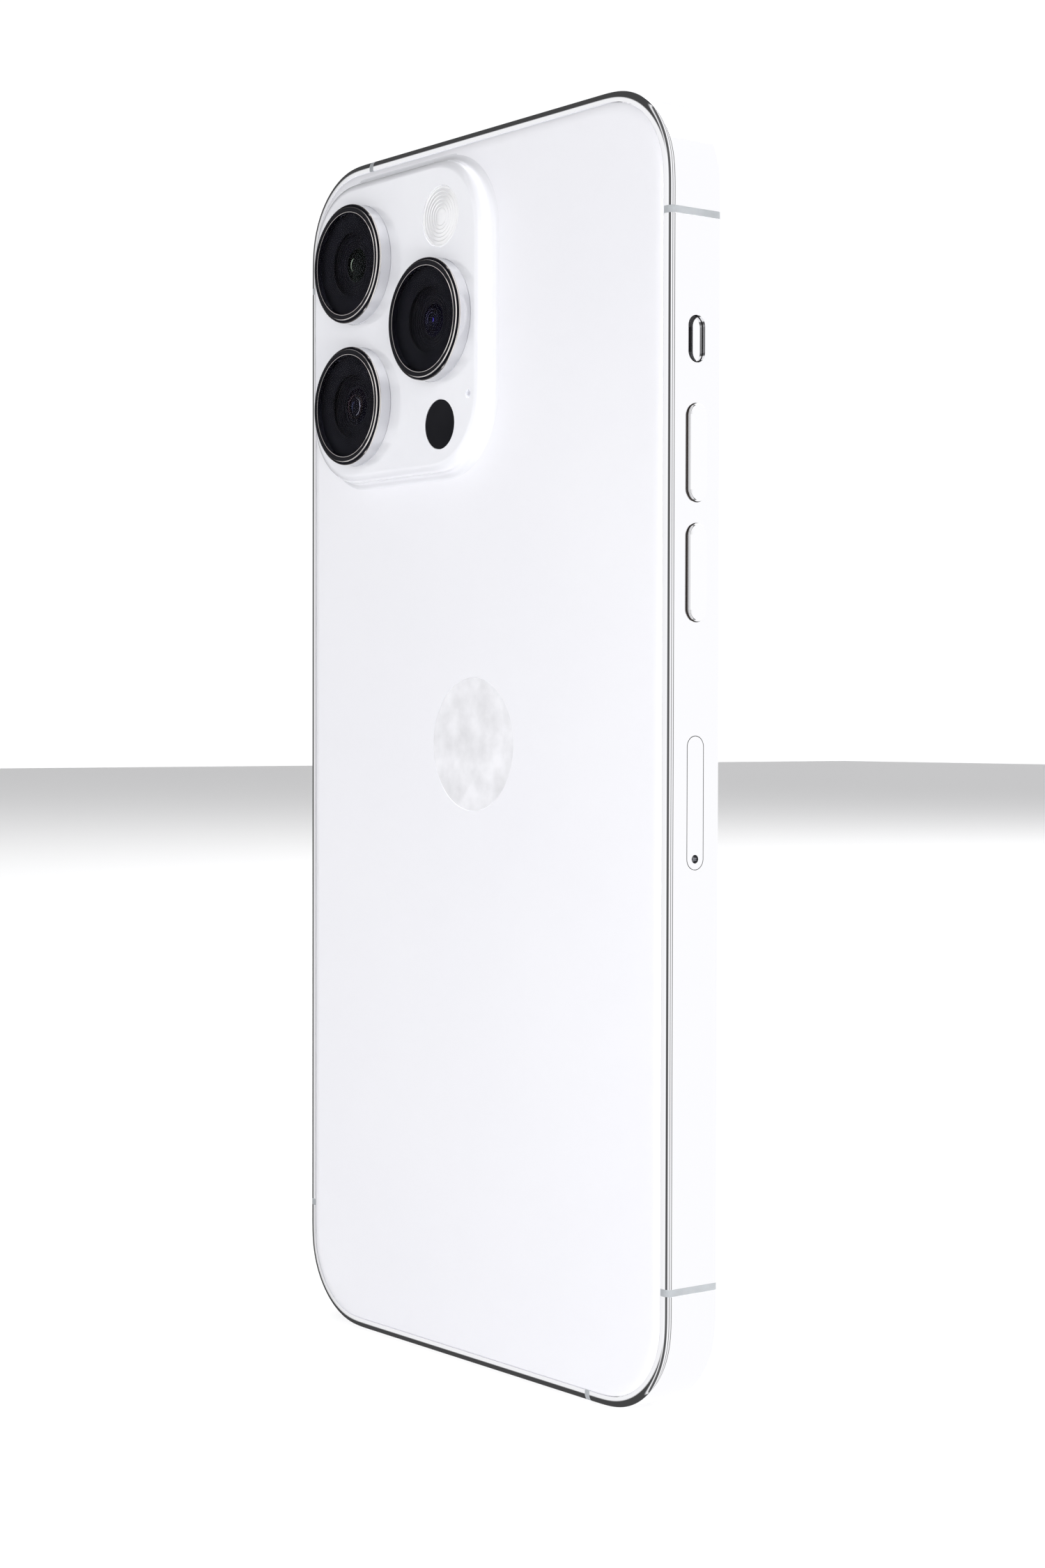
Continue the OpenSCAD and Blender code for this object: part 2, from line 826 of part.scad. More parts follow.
module logic_board() {
  color("darkgreen") upright() difference() {
    union() {
      block([board_x[0], board_y[0], board_z[0]],
            [board_x[1], board_y[1] - board_neck, board_z[1]]);
      block([board_x[0], board_y[1] - board_neck - 1, board_z[0]],
            [board_x[1] - 2.5, board_y[1], board_z[1]]);
    }
    for (at = board_drill) post(at, 0.75, -1, 1);
  }
}

module board_chips() {
  color("black") upright() {
    block([13, 98, board_z[1]], [26, 111, board_z[1] + 1]);
    block([13, 114, board_z[1]], [24, 122, board_z[1] + 0.9]);
    block([14, 86, board_z[1]], [25, 94.5, board_z[1] + 0.8]);
    for (i = [0 : 4])
      block([13 + 2.4 * i, 130, board_z[1]], [14.6 + 2.4 * i, 137, board_z[1] + 0.7]);
  }
}

module board_shield() {
  t = cover_wall;
  color("silver") upright() difference() {
    block(cover_low, cover_high);
    block(cover_low + [t, t, -1], cover_high - [t, t, t]);
  }
}

module board_screws() {
  color("gainsboro") upright() for (at = board_drill) difference() {
    union() {
      post(at, 0.65, -1.6, board_z[1] + 0.1);
      post(at, 1.1, board_z[1], board_z[1] + 0.6);
    }
    translate([at[0], at[1], board_z[1] + 0.3]) cylinder(h = 1, r = socket_r, $fn = 6);
  }
}

// Flat ribbons: port to board, battery to board, and along the buttons
module flex_cables() {
  color("orange") upright() translate([0, 0, ribbon_z]) linear_extrude(ribbon_t) {
    polygon([[-3, 5], [3, 5], [3, 12], [11, 20], [11, 88], [8, 88], [8, 21.2],
             [0, 13.2], [-3, 13.2]]);
    polygon([[-8, 94], [7, 94], [7, 98], [-8, 98]]);
    polygon([[14, 126], [29, 126], [29, 88], [30.6, 88], [30.6, 128], [14, 128]]);
  }
}

module port_shell() {
  color("silver") upright() difference() {
    end_pill(0, port_w + 2 * port_wall, port_h + 2 * port_wall, port_start,
             port_deep + 1);
    end_pill(0, port_w, port_h, 0, port_deep + 2);
  }
}

module port_tongue() {
  color("black") upright() {
    end_pill(0, port_w - 0.02, port_h - 0.02, port_deep + 0.35, port_deep + 1);
    block([-tongue_w / 2, 1.2, -tongue_t / 2],
          [tongue_w / 2, port_deep + 0.5, tongue_t / 2]);
  }
}

module bottom_screws() {
  color("silver") upright() for (s = [-1, 1]) difference() {
    union() {
      rod_along_y(s * screw_x, 0, screw_seat_r - 0.07, 0.15, screw_seat);
      rod_along_y(s * screw_x, 0, screw_shank_r - bond, screw_seat - 0.1, 4.4);
    }
    translate([s * screw_x, 0.7, 0]) rotate([90, 0, 0])
      cylinder(h = 2, r = socket_r, $fn = 6);
  }
}

module loudspeaker() {
  color("dimgray") upright() {
    block(speaker_low, speaker_high);
    block(spout_low, spout_high);
  }
}

module speaker_mesh() {
  color("darkgray") upright() for (s = [-1, 1])
    block([s * mesh_at - mesh_half[0], wall_t + bond, -mesh_half[1]],
          [s * mesh_at + mesh_half[0], wall_t + 0.3, mesh_half[1]]);
}

module bottom_mic() {
  color("goldenrod") upright()
    block([-16, wall_t + 0.5, -1], [-12.5, wall_t + 1.6, 1]);
}

module haptic_housing() {
  t = haptic_wall;
  color("gray") upright() difference() {
    block(haptic_low, haptic_high);
    block(haptic_low + [t, t, -1], haptic_high - [t, t, t]);
  }
}

module haptic_mass() {
  side = haptic_wall + haptic_gap;
  end = haptic_wall + haptic_play;
  color("darkslategray") upright()
    block(haptic_low + [end, side, 0.1], haptic_high - [end, side, side]);
}

frame();
antenna_breaks();
front_glass();
display_panel();
display_shield();
display_gasket();
rear_glass();
rear_gasket();
rear_badge();
mid_plate();
charging_coil();
magnet_ring();
tele_ring();
main_ring();
wide_ring();
tele_cover();
main_cover();
wide_cover();
tele_housing();
main_housing();
wide_housing();
tele_barrel();
main_barrel();
wide_barrel();
camera_bracket();
flash_lens();
flash_led();
scanner_window();
scanner_module();
rear_mic();
volume_up();
volume_down();
side_button();
mute_thumb();
volume_switches();
side_switch();
mute_base();
sim_tray();
tray_seal();
sim_card();
sim_reader();
eject_rod();
eject_lever();
battery();
logic_board();
board_chips();
board_shield();
board_screws();
flex_cables();
port_shell();
port_tongue();
bottom_screws();
loudspeaker();
speaker_mesh();
bottom_mic();
haptic_housing();
haptic_mass();
earpiece();
front_camera();
face_sensor();
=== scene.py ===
"""Looks of the smartphone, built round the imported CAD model.

Shapes are drawn in millimetres in a back view: x to the right as the back is
looked at, y up from the bottom edge, z out of the back. The map functions turn
such points into the row frame, where x is -X, y is +Z and z is +Y, in metres.
"""
import math

import bmesh
import bpy
from mathutils import Matrix, Vector


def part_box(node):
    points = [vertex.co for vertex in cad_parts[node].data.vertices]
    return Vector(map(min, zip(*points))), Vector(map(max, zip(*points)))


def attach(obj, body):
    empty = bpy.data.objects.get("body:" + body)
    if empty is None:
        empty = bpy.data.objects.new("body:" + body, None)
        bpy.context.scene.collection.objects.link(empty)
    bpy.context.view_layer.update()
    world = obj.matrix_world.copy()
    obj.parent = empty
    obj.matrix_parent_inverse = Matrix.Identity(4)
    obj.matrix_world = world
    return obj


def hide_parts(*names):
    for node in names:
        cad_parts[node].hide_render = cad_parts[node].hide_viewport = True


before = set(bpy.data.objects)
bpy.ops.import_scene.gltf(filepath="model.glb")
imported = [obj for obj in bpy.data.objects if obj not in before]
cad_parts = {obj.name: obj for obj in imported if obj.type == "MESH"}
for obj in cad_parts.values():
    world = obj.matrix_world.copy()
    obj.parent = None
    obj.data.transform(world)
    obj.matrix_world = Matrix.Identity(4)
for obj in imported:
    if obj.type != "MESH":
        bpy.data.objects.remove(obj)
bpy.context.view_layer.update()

MM = 0.001


# ---------------------------------------------------------------- dimensions

def box_mm(node):
    """A CAD node's lowest and highest corner in millimetres, in the back view."""
    low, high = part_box(node)
    return (
        Vector((-high.x, low.z, low.y)) / MM,
        Vector((-low.x, high.z, high.y)) / MM,
    )


band_low, band_high = box_mm("frame")
PHONE_W = band_high.x - band_low.x
PHONE_H = band_high.y
RIM_TOP = band_high.z
HALF_T = box_mm("rear_badge")[1].z
PLATEAU_TOP = box_mm("rear_glass")[1].z
GLASS_IN = box_mm("rear_gasket")[1].z
LEDGE = box_mm("rear_gasket")[0].z
GLASS_INSET = (PHONE_W - (box_mm("front_glass")[1].x - box_mm("front_glass")[0].x)) / 2

RIM_W = GLASS_INSET - 0.05
WALL = 2.4
BAND_HALF = 3.15
RIM_ROLL = 0.85
BREAK_W = 0.8
BREAK_END = 14.6
BREAK_SIDE = 21.8
BREAK_DEEP = 1.7
CORNER_REACH = 13.5
CORNER_RAMP = 0.25
CORNER_STEPS = 40

PLATEAU_W, PLATEAU_H, PLATEAU_R = 36.7, 38.2, 9.6
PLATEAU_AT = (-13.65, PHONE_H - 21.65)
PLATEAU_REACH = 1.2
PLATEAU_RAMP = 0.22
SKIN = 0.8
HOLLOW_IN = 1.7
BADGE_DEEP = 0.3
WINDOW_GAP = 0.05

LENSES = ("tele", "main", "wide")
RING_R = 7.35
MIC_AT = (2.1, PHONE_H - 31.6)
MIC_R = 0.5

BUTTON_GAP = 0.08
FLANGE_LEN, FLANGE_W = 1.4, 0.9
TRAY_SLACK = 0.16
MUTE_SLOT_LEN, MUTE_SLOT_W = 5.2, 2.44
SLIT_DROP, SLIT_LEN, SLIT_W = 2.6, 11.0, 0.55
HOLE_FIRST, HOLE_PITCH, HOLE_COUNT, HOLE_R = 11.6, 2.0, 5, 0.65
SCREW_X, SCREW_SEAT_R, SCREW_SEAT_DEEP, SCREW_SHANK_R = 8.6, 0.95, 1.2, 0.65

# Further out than any piece: how far a cutter reaches past the back or the front
FAR = 20
THROUGH_BACK = [(0, 0), (0, FAR)]


def centre_mm(node):
    low, high = box_mm(node)
    return (low + high) / 2


def radius_mm(node):
    """The radius of a round node, from its width."""
    low, high = box_mm(node)
    return (high.x - low.x) / 2


# ---------------------------------------------------------------- maps

def back_view(p):
    return Vector((-p[0], p[2], p[1])) * MM


def from_right(p):
    """Drawn on the right side: up, towards the back, outwards."""
    return Vector((-p[2], p[1], p[0])) * MM


def from_left(p):
    return Vector((p[2], -p[1], p[0])) * MM


def from_below(p):
    """Drawn on the bottom edge: rightwards, towards the back, outwards."""
    return Vector((-p[0], p[1], -p[2])) * MM


# ---------------------------------------------------------------- outlines
# A station is (x, y, nx, ny): a point on an outline and its outward normal.

def corner_curve(reach, ramp):
    """A right-angled corner whose curvature grows and fades smoothly."""
    turn = []
    for i in range(CORNER_STEPS):
        t = (i + 0.5) / CORNER_STEPS
        k = min(1.0, min(t, 1 - t) / ramp)
        turn.append(k * k * (3 - 2 * k))
    total = sum(turn)
    angle, x, y = 0.0, 0.0, 0.0
    points = [(x, y, angle)]
    for k in turn:
        step = k / total * math.pi / 2
        x += math.sin(angle + step / 2)
        y += math.cos(angle + step / 2)
        angle += step
        points.append((x, y, angle))
    scale = reach / x
    return [(px * scale, py * scale, a) for px, py, a in points]


def turned(station, quarter):
    x, y, nx, ny = station
    for _ in range(quarter):
        x, y, nx, ny = -y, x, -ny, nx
    return x, y, nx, ny


def smooth_rectangle(width, height, centre, reach, ramp=CORNER_RAMP):
    """The stations of each corner, in order: top right, top left, and on round."""
    corners = []
    for quarter in range(4):
        half_w, half_h = width / 2, height / 2
        if quarter % 2:
            half_w, half_h = half_h, half_w
        corner = []
        for dx, dy, a in corner_curve(reach, ramp):
            s = (half_w - dx, half_h - reach + dy, math.cos(a), math.sin(a))
            x, y, nx, ny = turned(s, quarter)
            corner.append((x + centre[0], y + centre[1], nx, ny))
        corners.append(corner)
    return corners


def loop_of(corners):
    return [s for corner in corners for s in corner]


def circle(radius, centre=(0, 0), steps=128):
    turns = [2 * math.pi * i / steps for i in range(steps)]
    return [
        (centre[0] + radius * math.cos(a), centre[1] + radius * math.sin(a), math.cos(a), math.sin(a))
        for a in turns
    ]


def pill(length, width, centre=(0, 0), steps=28):
    """Half-round ends on a long shape that runs along x."""
    r = width / 2
    stations = []
    for side in (1, -1):
        for i in range(steps + 1):
            a = -math.pi / 2 + math.pi * i / steps
            nx, ny = side * math.cos(a), side * math.sin(a)
            stations.append(
                (centre[0] + side * (length / 2 - r) + r * nx, centre[1] + r * ny, nx, ny))
    return stations


def arc(cx, cz, rx, rz, start, end, steps):
    """Profile points on a quarter or half round, angles in degrees."""
    points = []
    for i in range(steps + 1):
        a = math.radians(start + (end - start) * i / steps)
        points.append((cx + rx * math.cos(a), cz + rz * math.sin(a)))
    return points


# ---------------------------------------------------------------- meshes

def new_object(name, verts, faces, to_row=back_view, sharp=35):
    bm = bmesh.new()
    made = [bm.verts.new(to_row(v)) for v in verts]
    for face in faces:
        bm.faces.new([made[i] for i in face])
    bmesh.ops.remove_doubles(bm, verts=bm.verts, dist=1e-7)
    bmesh.ops.recalc_face_normals(bm, faces=bm.faces)
    mesh = bpy.data.meshes.new(name)
    bm.to_mesh(mesh)
    bm.free()
    obj = bpy.data.objects.new(name, mesh)
    bpy.context.scene.collection.objects.link(obj)
    soften(obj, sharp)
    return obj


def soften(obj, sharp=35):
    mesh = obj.data
    mesh.shade_smooth()
    mesh.set_sharp_from_angle(angle=math.radians(sharp))


def plate(name, stations, profile, to_row=back_view, sharp=35):
    """A closed solid: the outline drawn at each (inset, level), capped at both ends."""
    n = len(stations)
    verts = [(x - nx * d, y - ny * d, z) for d, z in profile for x, y, nx, ny in stations]
    faces = []
    for k in range(len(profile) - 1):
        for i in range(n):
            j = (i + 1) % n
            faces.append((k * n + i, k * n + j, (k + 1) * n + j, (k + 1) * n + i))
    faces.append(tuple(reversed(range(n))))
    faces.append(tuple(range((len(profile) - 1) * n, len(profile) * n)))
    return new_object(name, verts, faces, to_row, sharp)


def sweep(name, stations, section, closed=True):
    """A closed section of (inset, level) points carried along an outline."""
    n, m = len(stations), len(section)
    verts = [(x - nx * d, y - ny * d, z) for x, y, nx, ny in stations for d, z in section]
    faces = []
    for i in range(n if closed else n - 1):
        a, b = i * m, (i + 1) % n * m
        for k in range(m):
            q = (k + 1) % m
            faces.append((a + k, a + q, b + q, b + k))
    if not closed:
        faces.append(tuple(range(m)))
        faces.append(tuple(reversed(range((n - 1) * m, n * m))))
    return new_object(name, verts, faces)


def join(name, objects):
    bm = bmesh.new()
    for obj in objects:
        bm.from_mesh(obj.data)
    mesh = bpy.data.meshes.new(name)
    bm.to_mesh(mesh)
    bm.free()
    for obj in objects:
        bpy.data.objects.remove(obj)
    obj = bpy.data.objects.new(name, mesh)
    bpy.context.scene.collection.objects.link(obj)
    soften(obj)
    return obj


def bake_modifiers(obj):
    graph = bpy.context.evaluated_depsgraph_get()
    mesh = bpy.data.meshes.new_from_object(obj.evaluated_get(graph))
    obj.modifiers.clear()
    obj.data = mesh
    soften(obj)


def cut(obj, cutters):
    """Takes the cutters out of the object, then deletes them."""
    for cutter in cutters:
        m = obj.modifiers.new("cut", "BOOLEAN")
        m.operation = "DIFFERENCE"
        m.solver = "EXACT"
        m.object = cutter
    bpy.context.view_layer.update()
    bake_modifiers(obj)
    for cutter in cutters:
        bpy.data.objects.remove(cutter)


def round_edges(obj, width, limit=40):
    """Rounds the sharp edges by a width in millimetres and evens the shading."""
    m = obj.modifiers.new("round", "BEVEL")
    m.width = width * MM
    m.segments = 2
    m.limit_method = "ANGLE"
    m.angle_limit = math.radians(limit)
    m.use_clamp_overlap = True
    even_shading(obj)


def even_shading(obj):
    m = obj.modifiers.new("even", "WEIGHTED_NORMAL")
    m.keep_sharp = True
    m.weight = 80


def finish_piece(obj, body, material, replaced=()):
    obj.data.materials.clear()
    obj.data.materials.append(material)
    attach(obj, body)
    if replaced:
        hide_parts(*replaced)


# ---------------------------------------------------------------- materials

def make_material(name, color, roughness, metallic=0.0, **inputs):
    mat = bpy.data.materials.new(name)
    mat.use_nodes = True
    bsdf = mat.node_tree.nodes["Principled BSDF"]
    bsdf.inputs["Base Color"].default_value = (*color, 1)
    bsdf.inputs["Roughness"].default_value = roughness
    bsdf.inputs["Metallic"].default_value = metallic
    for key, value in inputs.items():
        bsdf.inputs[key.replace("_", " ")].default_value = value
    return mat


def bsdf_of(mat):
    return mat.node_tree.nodes["Principled BSDF"]


def texture(mat, kind, scale, stretch=(1, 1, 1), **settings):
    """A texture node in the piece's own space; scale is in cycles per metre."""
    nodes, links = mat.node_tree.nodes, mat.node_tree.links
    coord = nodes.new("ShaderNodeTexCoord")
    mapping = nodes.new("ShaderNodeMapping")
    mapping.inputs["Scale"].default_value = stretch
    tex = nodes.new("ShaderNodeTex" + kind)
    tex.inputs["Scale"].default_value = scale
    for key, value in settings.items():
        tex.inputs[key].default_value = value
    links.new(coord.outputs["Object"], mapping.inputs["Vector"])
    links.new(mapping.outputs["Vector"], tex.inputs["Vector"])
    return tex


def tex_value(tex):
    for key in ("Fac", "Distance", "Color"):
        if key in tex.outputs:
            return tex.outputs[key]
    return tex.outputs[0]


def drive(mat, tex, socket, low, high, span=(0.3, 0.7)):
    """The texture moves a number socket between low and high."""
    nodes, links = mat.node_tree.nodes, mat.node_tree.links
    ranged = nodes.new("ShaderNodeMapRange")
    ranged.inputs["From Min"].default_value, ranged.inputs["From Max"].default_value = span
    ranged.inputs["To Min"].default_value, ranged.inputs["To Max"].default_value = low, high
    links.new(tex_value(tex), ranged.inputs["Value"])
    links.new(ranged.outputs["Result"], bsdf_of(mat).inputs[socket])


def tint(mat, tex, stops, span=(0.3, 0.7)):
    """The texture moves the base colour through a few colours."""
    nodes, links = mat.node_tree.nodes, mat.node_tree.links
    ramp = nodes.new("ShaderNodeValToRGB")
    elements = ramp.color_ramp.elements
    while len(elements) < len(stops):
        elements.new(0.5)
    for i, color in enumerate(stops):
        elements[i].position = span[0] + (span[1] - span[0]) * i / (len(stops) - 1)
        elements[i].color = (*color, 1)
    links.new(tex_value(tex), ramp.inputs["Fac"])
    links.new(ramp.outputs["Color"], bsdf_of(mat).inputs["Base Color"])


def bump(mat, tex, height, strength=1.0):
    """The texture raises the surface by up to a height in millimetres."""
    nodes, links = mat.node_tree.nodes, mat.node_tree.links
    node = nodes.new("ShaderNodeBump")
    node.inputs["Strength"].default_value = strength
    node.inputs["Distance"].default_value = height * MM
    links.new(tex_value(tex), node.inputs["Height"])
    links.new(node.outputs["Normal"], bsdf_of(mat).inputs["Normal"])


def polished_metal(name, color, rough=(0.02, 0.06), scratch=0.0006):
    mat = make_material(name, color, rough[0], 1.0)
    drive(mat, texture(mat, "Noise", 260, Detail=6.0), "Roughness", *rough)
    bump(mat, texture(mat, "Noise", 2600, (1, 1, 0.12), Detail=4.0), scratch, 0.25)
    return mat


def sheet_metal(name, color, rough=(0.28, 0.45)):
    mat = make_material(name, color, rough[0], 1.0)
    drive(mat, texture(mat, "Noise", 900, (1, 1, 0.04), Detail=5.0), "Roughness", *rough)
    bump(mat, texture(mat, "Noise", 5000, (1, 1, 0.03), Detail=3.0), 0.004, 0.4)
    return mat


def moulded(name, color, rough=(0.4, 0.55), grain=0.006, scale=4200):
    mat = make_material(name, color, rough[0])
    spot = texture(mat, "Noise", 300, Detail=4.0)
    tint(mat, spot, [tuple(c * 0.88 for c in color), tuple(min(1, c * 1.1) for c in color)])
    drive(mat, texture(mat, "Noise", 700, Detail=3.0), "Roughness", *rough)
    bump(mat, texture(mat, "Noise", scale, Detail=2.0), grain, 0.5)
    return mat


def satin_back_glass():
    """Frosted glass over a white coat: a fine grain with a soft sheen."""
    mat = make_material("satin_back_glass", (0.90, 0.90, 0.93), 0.34, 0.0, IOR=1.5)
    cloud = texture(mat, "Noise", 22, Detail=3.0)
    tint(mat, cloud, [(0.885, 0.885, 0.925), (0.905, 0.905, 0.940)])
    drive(mat, texture(mat, "Noise", 1400, Detail=5.0), "Roughness", 0.30, 0.40)
    bump(mat, texture(mat, "Noise", 9000, Detail=2.0), 0.0016, 0.5)
    return mat


def clear_plateau_glass():
    """Polished glass over the same white coat: a hard clear layer on top."""
    mat = make_material("clear_plateau_glass", (0.86, 0.865, 0.90), 0.22, 0.0,
                        Coat_Weight=1.0, Coat_Roughness=0.02, Coat_IOR=1.52)
    cloud = texture(mat, "Noise", 60, Detail=3.0)
    tint(mat, cloud, [(0.845, 0.850, 0.895), (0.875, 0.880, 0.915)])
    drive(mat, texture(mat, "Noise", 900, Detail=3.0), "Roughness", 0.18, 0.26)
    return mat


def black_glass(name, rough=(0.02, 0.05), specular=0.5):
    mat = make_material(name, (0.006, 0.006, 0.008), rough[0], 0.0, IOR=1.5,
                        Specular_IOR_Level=specular)
    tint(mat, texture(mat, "Noise", 120, Detail=2.0),
         [(0.004, 0.004, 0.006), (0.009, 0.009, 0.012)])
    drive(mat, texture(mat, "Noise", 500, Detail=4.0), "Roughness", *rough)
    return mat


def clear_crystal():
    mat = make_material("clear_crystal", (0.86, 0.87, 0.95), 0.0, 0.0,
                        Transmission_Weight=1.0, IOR=1.045)
    tint(mat, texture(mat, "Noise", 90, Detail=2.0),
         [(0.84, 0.85, 0.95), (0.88, 0.88, 0.96)])
    return mat


def coated_lens(name, near, far):
    mat = make_material(name, near, 0.03, 0.0, IOR=1.1)
    tint(mat, texture(mat, "Noise", 260, Detail=1.0), [near, far], (0.35, 0.65))
    drive(mat, texture(mat, "Noise", 800, Detail=2.0), "Roughness", 0.02, 0.05)
    return mat


def fresnel_plastic():
    mat = make_material("fresnel_plastic", (0.88, 0.88, 0.90), 0.12, 0.0,
                        Transmission_Weight=0.08, IOR=1.5, Coat_Weight=0.8,
                        Coat_Roughness=0.03)
    tint(mat, texture(mat, "Noise", 500, Detail=2.0),
         [(0.86, 0.86, 0.88), (0.92, 0.92, 0.93)])
    drive(mat, texture(mat, "Noise", 900, Detail=3.0), "Roughness", 0.08, 0.16)
    return mat


STEEL = polished_metal("band_steel", (0.93, 0.93, 0.945))
BUTTON_STEEL = polished_metal("button_steel", (0.94, 0.94, 0.95), (0.03, 0.07))
RING_SIDE = polished_metal("ring_side_steel", (0.80, 0.80, 0.82), (0.10, 0.2), 0.0002)
RING_FRONT = black_glass("ring_front_black", (0.04, 0.08), 0.04)
RING_EDGE = polished_metal("ring_edge_bright", (0.86, 0.82, 0.80), (0.08, 0.12), 0.0001)
# The button walls' steel is darkened as painted shade on the walls beside the caps.
BUTTON_WALL_PAINTED_SHADE = sheet_metal("button_wall_steel_painted_shade", (0.16, 0.14, 0.13), (0.35, 0.5))
STRIP = moulded("strip_plastic", (0.42, 0.44, 0.46), (0.45, 0.6), 0.003)
SATIN = satin_back_glass()
CLEAR = clear_plateau_glass()
FRONT = black_glass("front_black_glass")
SCANNER = black_glass("scanner_black_glass", (0.03, 0.06), 0.03)
CRYSTAL = clear_crystal()
FRESNEL = fresnel_plastic()
BARREL = moulded("barrel_black", (0.004, 0.004, 0.006), (0.42, 0.6), 0.004)
bsdf_of(BARREL).inputs["Specular IOR Level"].default_value = 0.08
BADGE = moulded("badge_enamel", (0.83, 0.83, 0.86), (0.16, 0.22), 0.0008, 6000)
TAPE = moulded("black_tape", (0.02, 0.02, 0.02), (0.7, 0.9), 0.01)
SHEET = sheet_metal("sheet_aluminium", (0.72, 0.73, 0.75))
CAN = sheet_metal("stamped_steel", (0.50, 0.51, 0.53))
GOLD = sheet_metal("gold_plate", (0.86, 0.66, 0.30), (0.2, 0.32))
COPPER = sheet_metal("copper_winding", (0.80, 0.42, 0.24), (0.25, 0.38))
MAGNET = sheet_metal("magnet_nickel", (0.45, 0.45, 0.47), (0.25, 0.4))
RUBBER = moulded("seal_rubber", (0.02, 0.02, 0.02), (0.6, 0.8), 0.008)
DARK = moulded("dark_moulding", (0.03, 0.03, 0.033), (0.4, 0.6))
CHIP = moulded("chip_epoxy", (0.035, 0.035, 0.038), (0.5, 0.65), 0.004)
CELL = moulded("cell_wrap", (0.05, 0.05, 0.055), (0.35, 0.5), 0.01, 900)
RIBBON = moulded("ribbon_film", (0.45, 0.24, 0.06), (0.3, 0.45), 0.004)
LED = moulded("led_phosphor", (0.85, 0.78, 0.35), (0.5, 0.65))
PANEL = moulded("panel_layers", (0.03, 0.03, 0.04), (0.2, 0.3), 0.002)


def board_mask():
    """Solder mask with a fine net of tracks."""
    mat = make_material("board_mask", (0.03, 0.16, 0.08), 0.3, 0.0, Coat_Weight=0.5)
    track = texture(mat, "Voronoi", 900)
    tint(mat, track, [(0.05, 0.24, 0.12), (0.02, 0.12, 0.06)], (0.02, 0.12))
    drive(mat, texture(mat, "Noise", 900), "Roughness", 0.25, 0.4)
    return mat


def mesh_cloth():
    """Woven speaker mesh: a fine grid of pits."""
    mat = make_material("woven_mesh", (0.25, 0.25, 0.26), 0.5, 1.0)
    weave = texture(mat, "Voronoi", 6000)
    tint(mat, weave, [(0.02, 0.02, 0.02), (0.35, 0.35, 0.36)], (0.1, 0.5))
    bump(mat, weave, 0.05)
    return mat


BOARD = board_mask()
MESH = mesh_cloth()


# ---------------------------------------------------------------- the band

def band_section():
    """The band's cross-section as (inset, level), flat outside with round rims."""
    drop = RIM_TOP - BAND_HALF
    upper = arc(RIM_ROLL, BAND_HALF, RIM_ROLL, drop, 180, 90, 12)
    ledge = [(RIM_W, RIM_TOP), (RIM_W, LEDGE), (WALL, LEDGE)]
    lower = [(d, -z) for d, z in reversed(upper + ledge)]
    return upper + ledge + lower


def strip_section():
    drop = RIM_TOP - BAND_HALF
    upper = arc(RIM_ROLL, BAND_HALF, RIM_ROLL - 0.01, drop - 0.01, 180, 90, 12)
    inner = [(RIM_W, RIM_TOP - 0.01), (RIM_W, LEDGE), (BREAK_DEEP, LEDGE)]
    lower = [(d, -z) for d, z in reversed(upper + inner)]
    return upper + inner + lower


def break_places():
    """Per side of the outline, in travel order: the middle of each strip as a
    station. The sides are right (upwards), top, left (downwards) and bottom."""
    half = PHONE_W / 2
    high = PHONE_H - BREAK_END
    return [
        [(half, BREAK_END, 1, 0), (half, high, 1, 0)],
        [(-BREAK_SIDE, PHONE_H, 0, 1)],
        [(-half, high, -1, 0), (-half, BREAK_END, -1, 0)],
        [(BREAK_SIDE, 0, 0, -1)],
    ]


def beside(station, along):
    """The station moved along the direction of travel, which is anticlockwise."""
    x, y, nx, ny = station
    return x - ny * along, y + nx * along, nx, ny


def band_lengths():
    """The outline cut into one length of band between each two strips."""
    corners = smooth_rectangle(PHONE_W, PHONE_H, (0, PHONE_H / 2), CORNER_REACH)
    lengths = [[]]
    for corner, places in zip(corners, break_places()):
        for place in places:
            lengths[-1].append(beside(place, -BREAK_W / 2))
            lengths.append([beside(place, BREAK_W / 2)])
        lengths[-1] += corner
    lengths[0] = lengths.pop() + lengths[0]
    return lengths


def side_slots():
    """Cutters for the openings in the right side."""
    cutters = [pill_cutter(node, from_right) for node in ("volume_up", "volume_down")]
    low, high = box_mm("sim_tray")
    cutters.append(side_pill("tray_cut", (low.y + high.y) / 2, high.y - low.y + TRAY_SLACK,
                             high.z - low.z + TRAY_SLACK, from_right))
    cutters.append(side_pill("mute_cut", centre_mm("mute_base").y, MUTE_SLOT_LEN, MUTE_SLOT_W,
                             from_right))
    return cutters


def side_pill(name, y, length, width, to_row):
    """A cutter that passes through the side wall."""
    reach = PHONE_W / 2
    return plate(name, pill(length, width, (y, 0)), [(0, reach - WALL - 1), (0, reach + 1)], to_row)


def pill_cutter(node, to_row):
    """The opening for a button, whose box includes the flange behind the wall."""
    low, high = box_mm(node)
    length = high.y - low.y - FLANGE_LEN + 2 * BUTTON_GAP
    width = high.z - low.z - FLANGE_W + 2 * BUTTON_GAP
    return side_pill(node + "_cut", (low.y + high.y) / 2, length, width, to_row)


